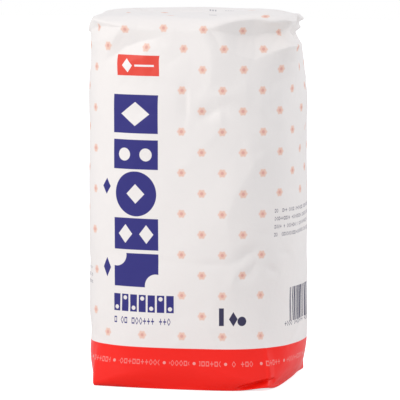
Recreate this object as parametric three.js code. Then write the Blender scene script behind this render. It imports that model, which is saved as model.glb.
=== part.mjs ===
import * as THREE from 'three';
import { mergeVertices } from 'three/addons/utils/BufferGeometryUtils.js';

// Filled paper packet, one closed solid. Millimetres, +Z up, broad front facing -Y, base on Z = 0.

// Body at mid height
const BODY_WIDTH = 102.6;
const BODY_DEPTH = 81.2;
const BODY_HEIGHT = 175.2;
const BODY_ROUNDNESS = 2.68;

// Folded block base: a sharp cornered rectangle with bowed edges, swelling into the body
const BASE_WIDTH = 85.2;
const BASE_DEPTH = 72;
const BASE_FRONT_BOW = 5;
const BASE_SIDE_BOW = 0.4;
const BASE_SWOLLEN_WIDTH = 94;
const BASE_SWOLLEN_DEPTH = 79;
const BASE_SWOLLEN_ROUNDNESS = 5;
const BASE_SOFT_CORNER = 0.045;
const SWELL_HEIGHT = 30;
const SWELL_POWER = 3;
const CORNER_FADE_POWER = 8;
const BASE_EDGE = 0.6;

// Folded top: a little narrower and squarer than the body, higher at the back than at the front
const TOP_WIDTH = 101.4;
const TOP_DEPTH = 77.6;
const TOP_ROUNDNESS = 3.4;
const SHOULDER_START = 132;
const TOP_FRONT_DROP = 3.2;
const TOP_SAG = 0.7;
const RIM_RADIUS = 2.6;

// Closing flaps on the top and the base
const FLAP_STEP = 0.7;
const FLAP_LAP = 9;
const FLAP_EDGE_BLEND = 1.6;
const BASE_FLAP_STEP = 0.5;

// Glued overlap down the middle of the back
const SEAM_WIDTH = 14;
const SEAM_STEP = 0.45;
const SEAM_BLEND = 1.2;

// Undercut below the top edge, deepest round the right side, with the paper corners standing out over it.
// Its starts and ends are distances round the paper from the front centre, or past the back corners.
const LIP_CENTRE_Z = 166.5;
const LIP_HALF_HEIGHT = 4.6;
const LIP_DEPTH_RIGHT = 3.6;
const LIP_DEPTH_LEFT = 1.3;
const LIP_DEPTH_BACK = 1.6;
const LIP_RIGHT_START = [14, 36];
const LIP_RIGHT_END = [4, 22];
const LIP_LEFT_START = [26, 42];
const LIP_LEFT_END = [-8, 10];
const LIP_BACK_START = [4, 18];
const RIGHT_SHOULDER_INSET = 3.4;
const LEFT_SHOULDER_INSET = 0.8;
const EAR_SPREAD = 5;
const EAR_HALF_HEIGHT = 2.6;
const EAR_DROP = 2.4;
const EAR_DROP_ACROSS = [24, 46];
const EAR_DROP_DEEP = [2, 34];

const PAPER_EARS = [
  { name: 'back right', side: 1, back: true, z: 172.6, reach: 6 },
  { name: 'front right', side: 1, back: false, z: 172.4, reach: 1.2 },
  { name: 'front left', side: -1, back: false, z: 168.6, reach: 3.4 },
  { name: 'back left', side: -1, back: true, z: 171, reach: 2.2 },
];

// Grid of the solid: columns across the front, columns across a side, rows up the wall
const COLUMNS_FRONT = 28;
const COLUMNS_SIDE = 24;
const ROWS = 44;
const ROW_CROWDING = 0.115;
const QUADRANT_STEPS = 240;
const PATHS_PER_MM = 50;
const FLAT_EDGE = 0.93;
const BASE_PLAIN_HEIGHT = 8;
const TOP_LEAN_START = 26;

// Soft dents and raised folds of the wall. Each runs from one end to the other end, given as
// [distance round the paper from the front centre, height]; depth is inward, a negative depth stands out.
const WALL_FOLDS = [
  { name: 'upper left valley', from: [-23, 168], to: [-38, 154], width: 3.6, depth: 1.3 },
  { name: 'upper left facet', from: [-30, 164], to: [-44, 159], width: 4.5, depth: -0.5 },
  { name: 'upper middle dent', from: [2.3, 141], to: [2.3, 125], width: 5, depth: 0.9 },
  { name: 'middle crease', from: [10.8, 131], to: [19.7, 136], width: 3, depth: 0.7 },
  { name: 'middle ridge', from: [11.8, 128.6], to: [19.7, 127], width: 3.6, depth: -0.6 },
  { name: 'lip crease', from: [10.6, 168], to: [19.7, 160.5], width: 3, depth: 0.8 },
  { name: 'right upright dent', from: [40, 139], to: [40, 123], width: 4.5, depth: 0.9 },
  { name: 'shoulder dent', from: [51.8, 163], to: [51.8, 148], width: 5, depth: 1.2 },
  { name: 'long slanting dent', from: [40, 113], to: [28, 82], width: 8, depth: 1.1 },
  { name: 'low level crease', from: [-7, 59.3], to: [30, 59.9], width: 3.2, depth: 0.7 },
  { name: 'low corner valley', from: [30.4, 63.7], to: [37, 58.6], width: 3.2, depth: 1 },
  { name: 'low corner ridge', from: [33, 67], to: [44, 61], width: 4, depth: -0.5 },
  { name: 'low corner crease', from: [42.7, 57.1], to: [48.4, 53.4], width: 3, depth: 0.7 },
  { name: 'low upright crease', from: [26.7, 55], to: [26.7, 46], width: 3.2, depth: 0.6 },
  { name: 'left side dent', from: [-70, 120], to: [-84, 78], width: 9, depth: 1.2 },
  { name: 'left side crease', from: [-60, 58], to: [-82, 50], width: 4, depth: 0.8 },
  { name: 'low right dent', from: [72, 40], to: [100, 16], width: 10, depth: 1.3 },
  { name: 'right side dent', from: [92, 128], to: [84, 96], width: 8, depth: 1 },
  { name: 'back upper crease', from: [-140, 146], to: [-118, 138], width: 4, depth: 0.9 },
  { name: 'back lower crease', from: [124, 62], to: [146, 55], width: 4.5, depth: 0.9 },
];

const clamp01 = (value) => Math.min(1, Math.max(0, value));
const smooth = (low, high, value) => {
  const t = clamp01((value - low) / (high - low));
  return t * t * (3 - 2 * t);
};
const smoothOver = ([low, high], value) => smooth(low, high, value);
const mix = (first, second, t) => first + (second - first) * t;
const bump = (distance, width) => Math.exp(-((distance / width) ** 2));

// Half width, half depth and roundness of the packet at a height
function sectionAt(z) {
  const belly = 1 - clamp01(1 - z / SWELL_HEIGHT) ** SWELL_POWER;
  const squareness = clamp01(1 - z / SWELL_HEIGHT) ** SWELL_POWER;
  const top = smooth(SHOULDER_START, BODY_HEIGHT, z);
  return {
    halfWidth: mix(mix(BASE_SWOLLEN_WIDTH, BODY_WIDTH, belly), TOP_WIDTH, top) / 2,
    halfDepth: mix(mix(BASE_SWOLLEN_DEPTH, BODY_DEPTH, belly), TOP_DEPTH, top) / 2,
    roundness: mix(mix(BODY_ROUNDNESS, BASE_SWOLLEN_ROUNDNESS, squareness), TOP_ROUNDNESS, top),
  };
}

// Superellipse point of the front right quadrant, angle 0 at the middle of the right side
function quadrantPoint(section, angle) {
  return {
    x: section.halfWidth * Math.cos(angle) ** (2 / section.roundness),
    y: section.halfDepth * Math.sin(angle) ** (2 / section.roundness),
  };
}

// Points of the quadrant evenly spaced along its two parts: front centre to corner, corner to side centre
function quadrantPath(section) {
  const parts = [[Math.PI / 2, Math.PI / 4], [Math.PI / 4, 0]];
  return parts.map(([start, end]) => {
    const points = [];
    let length = 0;
    for (let i = 0; i <= QUADRANT_STEPS; i++) {
      const point = quadrantPoint(section, mix(start, end, i / QUADRANT_STEPS));
      if (i > 0) {
        const last = points[i - 1];
        length += Math.hypot(point.x - last.x, point.y - last.y);
      }
      points.push({ ...point, length });
    }
    return { points, length };
  });
}

function alongPath(part, fraction) {
  const wanted = clamp01(fraction) * part.length;
  let low = 0;
  let high = part.points.length - 1;
  while (high - low > 1) {
    const middle = (low + high) >> 1;
    if (part.points[middle].length < wanted) low = middle;
    else high = middle;
  }
  const span = part.points[high].length - part.points[low].length;
  const t = span > 0 ? (wanted - part.points[low].length) / span : 0;
  return {
    x: mix(part.points[low].x, part.points[high].x, t),
    y: mix(part.points[low].y, part.points[high].y, t),
  };
}

const pathCache = new Map();
function pathAt(z) {
  const key = Math.round(z * PATHS_PER_MM);
  if (!pathCache.has(key)) pathCache.set(key, quadrantPath(sectionAt(key / PATHS_PER_MM)));
  return pathCache.get(key);
}

const middlePath = pathAt(BODY_HEIGHT / 2);
const FRONT_HALF = middlePath[0].length;
const SIDE_HALF = middlePath[1].length;
const PERIMETER = 4 * (FRONT_HALF + SIDE_HALF);

// Outline of the folded base in the same square direction
function basePoint(squareX, squareY) {
  const bowX = BASE_SIDE_BOW * (1 - squareY ** 2);
  const bowY = BASE_FRONT_BOW * (1 - squareX ** 2);
  const frontRight = Math.max(0, squareX) * Math.max(0, -squareY);
  const scale = 1 - BASE_SOFT_CORNER * frontRight ** 4;
  return { x: scale * squareX * (BASE_WIDTH / 2 + bowX), y: scale * squareY * (BASE_DEPTH / 2 + bowY) };
}

// Where a square direction meets the wall: outline point, distance round the paper and outward normal
function wallPoint(squareX, squareY, z) {
  const path = pathAt(z);
  const onFront = Math.abs(squareY) >= Math.abs(squareX);
  const point = onFront ? alongPath(path[0], Math.abs(squareX)) : alongPath(path[1], 1 - Math.abs(squareY));
  const folded = basePoint(squareX, squareY);
  const sharpness = clamp01(1 - z / SWELL_HEIGHT) ** CORNER_FADE_POWER;
  const x = mix(Math.sign(squareX) * point.x, folded.x, sharpness);
  const y = mix(Math.sign(squareY) * point.y, folded.y, sharpness);
  const quarter = onFront
    ? FRONT_HALF * Math.abs(squareX)
    : FRONT_HALF + SIDE_HALF * (1 - Math.abs(squareY));
  const fromFront = squareY <= 0 ? quarter : PERIMETER / 2 - quarter;
  const section = sectionAt(z);
  const power = section.roundness - 1;
  const normal = new THREE.Vector2(
    Math.sign(x) * (Math.abs(x) / section.halfWidth) ** power / section.halfWidth,
    Math.sign(y) * (Math.abs(y) / section.halfDepth) ** power / section.halfDepth,
  ).normalize();
  return { x, y, arc: squareX < 0 ? -fromFront : fromFront, normal };
}

function distanceToFold(fold, arc, z) {
  const [startArc, startZ] = fold.from;
  const runArc = fold.to[0] - startArc;
  const runZ = fold.to[1] - startZ;
  const t = clamp01(((arc - startArc) * runArc + (z - startZ) * runZ) / (runArc ** 2 + runZ ** 2));
  return Math.hypot(arc - startArc - t * runArc, z - startZ - t * runZ);
}

function roundGap(arc, centre) {
  const gap = Math.abs(arc - centre) % PERIMETER;
  return Math.min(gap, PERIMETER - gap);
}

// Inward push of the wall from the dents, the undercut, the paper corners and the seam
function wallPush(arc, z) {
  let push = WALL_FOLDS.reduce((sum, fold) => {
    return sum + fold.depth * bump(distanceToFold(fold, arc, z), fold.width);
  }, 0);
  const backCorner = PERIMETER / 2 - FRONT_HALF;
  const right = smoothOver(LIP_RIGHT_START, arc) * (1 - smoothOver(LIP_RIGHT_END, arc - backCorner));
  const left = smoothOver(LIP_LEFT_START, -arc) * (1 - smoothOver(LIP_LEFT_END, -arc - backCorner));
  const back = smoothOver(LIP_BACK_START, Math.abs(arc) - backCorner);
  const depth = LIP_DEPTH_RIGHT * right + LIP_DEPTH_LEFT * left + LIP_DEPTH_BACK * back;
  push += depth * bump(z - LIP_CENTRE_Z, LIP_HALF_HEIGHT);
  push += RIGHT_SHOULDER_INSET * right * smooth(SHOULDER_START - 4, LIP_CENTRE_Z, z);
  push += LEFT_SHOULDER_INSET * left * smooth(SHOULDER_START, LIP_CENTRE_Z, z);
  push -= PAPER_EARS.reduce((sum, ear) => {
    const earArc = Math.sign(ear.side) * (ear.back ? backCorner : FRONT_HALF);
    return sum + ear.reach * bump(roundGap(arc, earArc), EAR_SPREAD) * bump(z - ear.z, EAR_HALF_HEIGHT);
  }, 0);
  const seam = PERIMETER / 2 - Math.abs(arc);
  push -= SEAM_STEP * (1 - smooth(SEAM_WIDTH / 2, SEAM_WIDTH / 2 + SEAM_BLEND, seam));
  return push;
}

// Height of the top face: leans up to the back, sags in the middle, drops at the back right corner
function topHeight(x, y) {
  const lean = TOP_FRONT_DROP * clamp01(0.5 - y / TOP_DEPTH);
  const across = clamp01(1 - (2 * x / TOP_WIDTH) ** 2) * clamp01(1 - (2 * y / TOP_DEPTH) ** 2);
  const corner = EAR_DROP * smoothOver(EAR_DROP_ACROSS, x) * smoothOver(EAR_DROP_DEEP, y);
  return BODY_HEIGHT - FLAP_STEP - lean - TOP_SAG * across - corner;
}

// How far a point lies inside the flap folded in from one end: its long edges run at 45 degrees
function flapCover(x, y, width, depth, lap) {
  const insideLong = Math.min(lap - y, depth / 2 + y);
  const insideEnd = width / 2 - Math.abs(x) - clamp01((y + depth / 2) / depth) * depth / 2;
  return smooth(0, FLAP_EDGE_BLEND, Math.min(insideLong, insideEnd));
}

function topFace(x, y) {
  const cover = flapCover(x, -y, TOP_WIDTH, TOP_DEPTH, FLAP_LAP);
  return topHeight(x, y) + FLAP_STEP * cover;
}

function baseFace(x, y) {
  const cover = flapCover(x, y, BASE_WIDTH, BASE_DEPTH, FLAP_LAP);
  return BASE_FLAP_STEP * (1 - cover);
}

// Row number to wall height, with rows packed closer towards the base and the top edge
function rowHeight(fraction) {
  const eased = fraction - ROW_CROWDING * Math.sin(2 * Math.PI * fraction);
  return eased * BODY_HEIGHT;
}

function wallVertex(squareX, squareY, fraction) {
  const level = rowHeight(fraction);
  const spot = wallPoint(squareX, squareY, level);
  const lowEdge = BASE_EDGE * (1 - clamp01(level / (2 * BASE_EDGE))) ** 2;
  const rise = clamp01((level - (BODY_HEIGHT - RIM_RADIUS)) / RIM_RADIUS);
  const rimInset = RIM_RADIUS * (1 - Math.sqrt(1 - rise ** 2));
  const inward = wallPush(spot.arc, level) * smooth(0, BASE_PLAIN_HEIGHT, level) + lowEdge + rimInset;
  const x = spot.x - inward * spot.normal.x;
  const y = spot.y - inward * spot.normal.y;
  const drop = (BODY_HEIGHT - topHeight(x, y)) * smooth(BODY_HEIGHT - TOP_LEAN_START, BODY_HEIGHT, level);
  return new THREE.Vector3(x, y, level - drop);
}

function packetVertex(point) {
  const squareX = clamp01(Math.abs(point.x) * 2) * Math.sign(point.x);
  const squareY = clamp01(Math.abs(point.y) * 2) * Math.sign(point.y);
  const reach = Math.max(Math.abs(squareX), Math.abs(squareY));
  const fraction = clamp01(point.z + 0.5);
  if (reach > 1 - 1e-6) return wallVertex(squareX, squareY, fraction);
  const atTop = fraction > 0.5;
  if (reach < 1e-6) return new THREE.Vector3(0, 0, atTop ? topFace(0, 0) : baseFace(0, 0));
  const edge = wallVertex(squareX / reach, squareY / reach, atTop ? 1 : 0);
  const x = edge.x * reach;
  const y = edge.y * reach;
  if (!atTop) return new THREE.Vector3(x, y, baseFace(x, y) * smooth(1, FLAT_EDGE, reach));
  const flat = topHeight(x, y);
  return new THREE.Vector3(x, y, flat + (topFace(x, y) - flat) * smooth(1, FLAT_EDGE, reach));
}

function buildPacket() {
  let geometry = new THREE.BoxGeometry(1, 1, 1, COLUMNS_FRONT, COLUMNS_SIDE, ROWS);
  geometry.deleteAttribute('normal');
  geometry.deleteAttribute('uv');
  geometry = mergeVertices(geometry, 1e-5);
  const position = geometry.getAttribute('position');
  const point = new THREE.Vector3();
  for (let i = 0; i < position.count; i++) {
    point.fromBufferAttribute(position, i);
    const placed = packetVertex(point);
    position.setXYZ(i, placed.x, placed.y, placed.z);
  }
  geometry.computeBoundingBox();
  const box = geometry.boundingBox;
  geometry.translate(-(box.min.x + box.max.x) / 2, -(box.min.y + box.max.y) / 2, -box.min.z);
  geometry.computeVertexNormals();
  return geometry;
}

const paper = new THREE.MeshStandardMaterial({ color: 0xece9e0, roughness: 0.55, metalness: 0 });
const packet = new THREE.Mesh(buildPacket(), paper);
packet.name = 'packet';

const group = new THREE.Group();
group.name = 'sugar_packet';
group.add(packet);

export default group;
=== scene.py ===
import bpy
import math
import numpy as np
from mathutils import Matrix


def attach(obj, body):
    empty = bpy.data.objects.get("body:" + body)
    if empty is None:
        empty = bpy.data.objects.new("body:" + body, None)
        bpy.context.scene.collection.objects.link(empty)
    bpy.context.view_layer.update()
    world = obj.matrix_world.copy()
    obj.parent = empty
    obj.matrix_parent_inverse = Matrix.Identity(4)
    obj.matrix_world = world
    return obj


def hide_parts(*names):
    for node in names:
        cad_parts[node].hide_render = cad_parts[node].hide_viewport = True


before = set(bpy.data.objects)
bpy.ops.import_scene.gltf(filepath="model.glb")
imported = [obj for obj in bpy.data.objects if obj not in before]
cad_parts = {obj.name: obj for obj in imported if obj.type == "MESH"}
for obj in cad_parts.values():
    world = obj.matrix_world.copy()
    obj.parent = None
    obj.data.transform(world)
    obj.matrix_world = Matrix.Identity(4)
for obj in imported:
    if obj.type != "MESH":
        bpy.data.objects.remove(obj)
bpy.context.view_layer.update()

# Sizes in millimetres. The paper is measured in distance round the packet from the front centre,
# positive to the right, and in height above the base.
MM = 0.001

BODY_WIDTH = 102.6
BODY_DEPTH = 81.2
BODY_HEIGHT = 175.2
BODY_ROUNDNESS = 2.68

BASE_WIDTH = 85.2
BASE_DEPTH = 72.0
BASE_FRONT_BOW = 9.8
BASE_SIDE_BOW = 1.4
BASE_SWOLLEN_WIDTH = 94.0
BASE_SWOLLEN_DEPTH = 79.0
BASE_SWOLLEN_ROUNDNESS = 5.0
BASE_SOFT_CORNER = 0.045
BASE_SPREAD_CORNER = 0.034
BASE_CORNER_POWER = 4
# The corner of the base at the front right is lifted off the table: place, reach and height
LIFT_X, LIFT_Y = 42.0, -38.0
LIFT_REACH = 9.0
LIFT_HEIGHT = 1.8
LIFT_FADE = 14.0
SWELL_HEIGHT = 30.0
SWELL_POWER = 3.0
FRONT_FADE_POWER = 5.0
BACK_FADE_POWER = 2.2
BACK_CORNER_FADE_POWER = 0.8
BASE_EDGE = 0.6
BASE_TURN_UNDER = 6.4
TURN_UNDER_SLOPE = 1.6
TURN_UNDER_LEAST = 0.4
BASE_PLAIN_HEIGHT = 1.6

TOP_WIDTH = 101.4
TOP_DEPTH = 77.6
TOP_ROUNDNESS = 3.4
SHOULDER_START = 132.0
TOP_FRONT_DROP = 3.2
FRONT_ROLL = 2.6
FRONT_ROLL_LENGTH = 9.5
FRONT_ROLL_POWER = 1.4
# A steeper stretch of the front edge of the top, towards the right
BEVEL_X = 37.0
BEVEL_HALF_WIDTH = 9.0
BEVEL_LENGTH = 4.5
BEVEL_DROP = 1.7
TOP_LEAN_START = 26.0
TOP_SAG = 0.7
FRONT_LEFT_DROP = 0.9
LEFT_DROP_ACROSS = (24, 48)
LEFT_DROP_DEEP = (-24, 12)
FRONT_RIGHT_RISE = 1.2
RISE_ACROSS = (6, 30)
RISE_DEEP = (0, -30)
# Radius of the turn from the wall to the top: distance round, radius
RIM_TURN = [
    (-153, 2.4), (-84, 2.8), (-72, 4.2), (-60, 5.2), (-54, 1.8), (-50, 1.0), (-34, 1.0), (-27, 2.4),
    (-20, 4.6), (4, 5.0), (12, 3.4), (20, 1.2), (62, 1.0), (92, 1.4), (112, 2.0), (153, 2.4),
]

FLAP_STEP = 0.7
FLAP_LAP = 9.0
FLAP_EDGE_BLEND = 0.5
# Paper taken up between the wall and the top
TOP_PAPER_EXTRA = 3.6
# The print on the wall: where the crushed edge starts to take up its paper, its drop there, and its end
CRUSHED_START = 157.0
TOP_PRINT_DROP = 0.6
TOP_PRINT_DROP_RISE = (160, 168)
WALL_PRINT_TOP = 176.3
# Slips of the print: distance round, height, half width, half height, slide to the right, climb
PRINT_SLIPS = [
    (-20, 161, 20, 6, 2.2, 0),
    (-28, 170, 18, 8, 1.2, 0),
    (-24, 146, 22, 7, 1.5, 0),
    (-24, 151, 22, 5, 0.35, 0),
    (-27, 161, 12, 3.5, 0, 1.5),
    (-8, 169, 10, 5, 0, 0.6),
    (30, 168, 8, 5, -1.2, 0),
    (50, 167, 6, 5, 1.2, 0.9),
]
TOP_FLAP_STEP = 0.6
TOP_FLAP_EDGE = 14.0
TOP_FLAP_BLEND = 2.2
TOP_FLAP_WAVE = 0.8
TOP_FLAP_WAVE_LENGTH = 9.0
# The flap stands highest near its middle, and ends short of the packet's sides
TOP_FLAP_HIGH_X = -6.0
TOP_FLAP_HIGH_HALF = 15.0
TOP_FLAP_LOW_SHARE = 0.35
TOP_FLAP_END = 6.0
TOP_FLAP_END_BLEND = 8.8
# The tucked ends of the top lie lower, between two slanting folds
TUCK_STEP = 0.4
TUCK_START = 22.0
TUCK_SLOPE = 0.62
TUCK_MIDDLE = 4.0
TUCK_BLEND = 1.6
# Soft hollows and ripples of the top: depth, lengths across and deep, phases, and where they fade
TOP_HOLLOW = (0.3, 11.0, 9.0, 0.6, 1.2)
TOP_RIPPLE = (0.18, 6.5, 8.0)
TOP_HOLLOW_EDGE = 0.75
BASE_FLAP_STEP = 0.5
FLAT_EDGE = 0.93

SEAM_WIDTH = 14.0
SEAM_STEP = 0.45
SEAM_BLEND = 0.5

# The crushed edge under the top: distance round, then the heights of its edge, of the upper and lower
# ends of its groove and of its foot, then the depths of the groove's two ends
RIGHT_LIP = [
    (13, 168.8, 168.3, 167.8, 166, 0, 0),
    (20, 170.3, 166.8, 166, 161, 1.5, 1.4),
    (26, 172, 164.2, 163.4, 157, 2.9, 2.7),
    (35, 171.9, 162.4, 161.6, 154, 4, 3.8),
    (44, 172, 164, 163.2, 157.6, 4.4, 4.1),
    (51, 172.5, 164.6, 163.8, 160, 5.1, 4.6),
    (60, 172, 166.6, 164.8, 160.2, 4.4, 4.4),
    (72, 171.8, 167.6, 163, 158.6, 2.8, 4.8),
    (90, 171.5, 166.6, 162.6, 158.6, 2.2, 3.8),
    (108, 171.5, 168, 166, 160, 1.2, 1.4),
    (124, 171.5, 168, 166, 160, 0, 0),
]
# The same on the left, by distance round to the left
LEFT_LIP = [
    (24, 169.6, 169, 168.4, 167, 0, 0),
    (30, 169.6, 168.9, 168.3, 165, 0.4, 0.35),
    (37, 170.8, 168.4, 167.8, 163, 1, 0.9),
    (42, 171, 167.6, 167, 161.6, 1.7, 1.55),
    (50, 171, 166.2, 165.4, 160.4, 2.2, 2),
    (57, 170.4, 165, 164.2, 159.6, 1.9, 1.7),
    (66, 169, 164, 163, 159, 0.7, 0.7),
    (80, 168.4, 163, 162, 157, 0.7, 0.7),
    (112, 170, 166, 165, 158, 0.8, 0.8),
    (124, 170, 166, 165, 158, 0, 0),
]
BACK_LIP_Z = 165.8
BACK_LIP_HALF_HEIGHT = 4.6
BACK_LIP_DEPTH = 1.6
BACK_LIP_START = (4, 18)
SHOULDER_TOP = 164.3
RIGHT_SHOULDER_INSET = 3.4
RIGHT_SHOULDER_START = (14, 36)
RIGHT_SHOULDER_END = (4, 22)
# Sideways shift of the front's top corners, squarer at the right and rounder at the left: distance
# round, half width, shift to the right
CORNER_SHIFTS = [(57, 14, 4.2), (-48, 10, 1.7)]
LEFT_SHOULDER_INSET = 0.8
LEFT_SHOULDER_START = (26, 42)
LEFT_SHOULDER_END = (-8, 10)

EAR_DROP = 3.4
EAR_DROP_ACROSS = (30, 51)
EAR_DROP_DEEP = (2, 34)
# Paper corners that stand out: distance round, height, reach, half width, half height
PAPER_EARS = [
    (108.6, 170.3, 5.8, 5, 2.5),
    (44, 169.8, 1, 5, 2.4),
    (72, 167, 1.2, 7, 1.6),
    (-64, 165.4, 1.6, 11, 3.8),
    (94, 166.6, 1.7, 6, 1.3),
    (-108.6, 170, 2.2, 5, 2.6),
]

COLUMNS_FRONT = 124
COLUMNS_SIDE = 96
ROWS = 230
# Rows stand closer together near the base and the top, by this share
ROW_CROWDING = 0.115
QUADRANT_STEPS = 240
TINY = 1e-9

# Soft hollows: distance round, height, half width, half height, depth inward
HOLLOWS = [
    (20, 118, 12, 14, -0.3),
    (-2, 100, 14, 30, -0.35),
    (33, 34, 9, 14, 0.5),
    (50, 36, 22, 29, 3.6),
    (57, 145, 15, 12, 1),
    (-77, 96, 12, 26, 1.3),
    (84, 34, 14, 14, -0.4),
    (98, 6, 16, 5, -0.7),
    (-58, 50, 14, 16, 1.1),
    (-58, 23, 12, 8, 0.9),
    (-57, 152, 12, 12, 0.7),
    (88, 112, 9, 18, 1.1),
    (135, 58, 12, 8, 0.8),
    (-128, 92, 16, 20, 0.9),
    (118, 120, 12, 18, -0.6),
]

# Creases: points of the line in order to the right or upward, reach of the slope on its left or upper
# side, reach on the other side, depth at the line; depth is inward, so a ridge is negative
CREASES = [
    ([(-36, 154), (-31, 156.4), (-26.6, 159.4), (-18.8, 162), (-11, 164)], 8.5, 7, 2.3),
    ([(-38, 155), (-30.9, 164), (-27.5, 169)], 5, 3.5, -0.69),
    ([(19.5, 159.5), (16.3, 164), (14, 167.6)], 4, 3.2, 1.12),
    ([(10, 135), (14.6, 143), (15.2, 152), (15, 161)], 9, 12, -0.94),
    ([(3.7, 127), (3.7, 141)], 5, 1.8, 0.88),
    ([(9.3, 127.4), (19.3, 131.4)], 6, 5, 1.4),
    ([(19.8, 125.5), (19.3, 131.2)], 5, 3, -0.62),
    ([(12, 137.5), (27, 138)], 5, 5, -0.75),
    ([(22, 131), (36, 120), (43, 113)], 7, 11, -0.88),
    ([(23.5, 70), (22.6, 81), (27, 93), (36, 107), (43, 113)], 11, 14, -1.19),
    ([(44, 125), (43.5, 146)], 5, 7, 1),
    ([(32, 134), (31, 146)], 7, 5, -0.56),
    ([(34, 155), (34.4, 163)], 3.5, 3, -0.56),
    ([(45.5, 158.5), (53, 161.4), (62, 160)], 2.2, 8, -2.1),
    ([(-10, 60.6), (12, 59.4), (33, 60.4)], 2.4, 3.4, 0.5),
    ([(27, 61), (37, 66.5)], 5, 4.5, 1.3),
    ([(24.7, 46), (25.2, 51.5), (28, 56.5)], 5, 8, -0.75),
    ([(28, 52), (34, 55.5), (37, 61)], 4, 5, 1),
    ([(42.8, 57.9), (49, 55)], 2.2, 3.4, 0.81),
    ([(50, 64), (60, 62.5)], 2, 2.5, 0.4),
    ([(42.6, 1), (42, 18)], 1.6, 4.5, -1.4),
    ([(28.5, 1.7), (38, 3.4), (46, 4.8)], 1.3, 3.2, 3.4),
    ([(14, 10), (24, 4)], 3, 3, 0.35),
    ([(-43.5, 0), (-43.5, 16)], 3, 3, -0.5),
    ([(-82, 50), (-60, 58)], 3.5, 6, 0.8),
    ([(-88, 136), (-62, 150)], 4, 6, 0.9),
    ([(58, 158), (70, 154), (82, 148)], 4, 6, 0.7),
    ([(60, 20), (78, 30)], 3.5, 5, 0.6),
    ([(-140, 146), (-118, 138)], 4, 6, 0.9),
    ([(124, 62), (146, 55)], 3, 5, 0.8),
    ([(112, 150), (126, 157), (138, 160)], 4, 6, 0.8),
    ([(-138, 22), (-112, 30)], 4, 6, 0.7),
]

# Broad unevenness of the filling: waves round, waves up, phase, height
SWELLS = [
    (3, 1.1, 0.4, 0.22),
    (5, -1.9, 2.1, 0.20),
    (8, 2.8, 4.0, 0.13),
    (11, -4.2, 1.3, 0.09),
    (17, 5.5, 0.7, 0.05),
]
# A crease keeps some depth at its ends, and its slope is mostly straight
CREASE_END = 0.12
CREASE_STRAIGHT = 0.65
# Small creases all over, with shares of chance and ranges of their places and sizes
SCATTER_SEED = 7
SCATTER_COUNT = 150
SCATTER_END_SHARE = 0.45
SCATTER_TOP_SHARE = 0.6
SCATTER_TOP_Z = (140, 166)
SCATTER_Z = (20, 160)
SCATTER_TURN = 0.9
SCATTER_UPRIGHT_SHARE = 0.4
SCATTER_HALF = (3, 11)
SCATTER_DEPTH = (0.12, 0.30)
SCATTER_INWARD_SHARE = 0.6
SCATTER_REACH = (2.2, 5.5)
# Longer bent creases of the sides and the back
BROAD_COUNT = 34
BROAD_START = 68.0
BROAD_SEAM_GAP = 16
BROAD_Z = (28, 150)
BROAD_TURN = (-0.4, 1.9)
BROAD_BEND = (-0.6, 0.6)
BROAD_HALF = (7, 16)
BROAD_DEPTH = (0.4, 0.95)
BROAD_REACH = (4, 10)


def clamp01(value):
    return np.clip(value, 0.0, 1.0)


def smooth(low, high, value):
    t = clamp01((value - low) / (high - low))
    return t * t * (3 - 2 * t)


def mix(first, second, t):
    return first + (second - first) * t


def bump(distance, width):
    return np.exp(-((distance / width) ** 2))


def set_inputs(node, values):
    for name, value in values.items():
        node.inputs[name].default_value = value


def add_object(name, data):
    made = bpy.data.objects.new(name, data)
    bpy.context.scene.collection.objects.link(made)
    return made


def section_at(z):
    """Half width, half depth and roundness of the packet at a height."""
    squareness = clamp01(1 - z / SWELL_HEIGHT) ** SWELL_POWER
    belly = 1 - squareness
    top = smooth(SHOULDER_START, BODY_HEIGHT, z)
    half_width = mix(mix(BASE_SWOLLEN_WIDTH, BODY_WIDTH, belly), TOP_WIDTH, top) / 2
    half_depth = mix(mix(BASE_SWOLLEN_DEPTH, BODY_DEPTH, belly), TOP_DEPTH, top) / 2
    roundness = mix(mix(BODY_ROUNDNESS, BASE_SWOLLEN_ROUNDNESS, squareness), TOP_ROUNDNESS, top)
    return half_width, half_depth, roundness


def quadrant_path(z):
    """Two tables of (length, x, y): front centre to corner, and corner to side centre."""
    half_width, half_depth, roundness = section_at(z)
    tables = []
    for start, end in ((math.pi / 2, math.pi / 4), (math.pi / 4, 0.0)):
        angle = np.linspace(start, end, QUADRANT_STEPS + 1)
        x = half_width * np.clip(np.cos(angle), 0, 1) ** (2 / roundness)
        y = half_depth * np.clip(np.sin(angle), 0, 1) ** (2 / roundness)
        length = np.concatenate([[0], np.cumsum(np.hypot(np.diff(x), np.diff(y)))])
        tables.append((length, x, y))
    return tables


MIDDLE_PATH = quadrant_path(BODY_HEIGHT / 2)
FRONT_HALF = MIDDLE_PATH[0][0][-1]
SIDE_HALF = MIDDLE_PATH[1][0][-1]
PERIMETER = 4 * (FRONT_HALF + SIDE_HALF)
BACK_CORNER = PERIMETER / 2 - FRONT_HALF


def round_gap(arc, centre):
    gap = np.abs(arc - centre) % PERIMETER
    return np.minimum(gap, PERIMETER - gap)


def lean_in(start, end, arc):
    return smooth(*start, arc) * (1 - smooth(*end, arc - BACK_CORNER))


def folded_edge(arc, z, table):
    """Inward push of a crushed edge: down the overhang to a groove, and back out over a ledge."""
    columns = np.array(table, dtype=float).T
    edge, upper, lower, foot, upper_depth, lower_depth = [
        np.interp(arc, columns[0], column) for column in columns[1:]
    ]
    overhang = clamp01((edge - z) / (edge - upper)) * upper_depth
    groove = clamp01((upper - z) / (upper - lower)) * (lower_depth - upper_depth)
    ledge = clamp01((lower - z) / (lower - foot)) * lower_depth
    return overhang + groove - ledge


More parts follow.
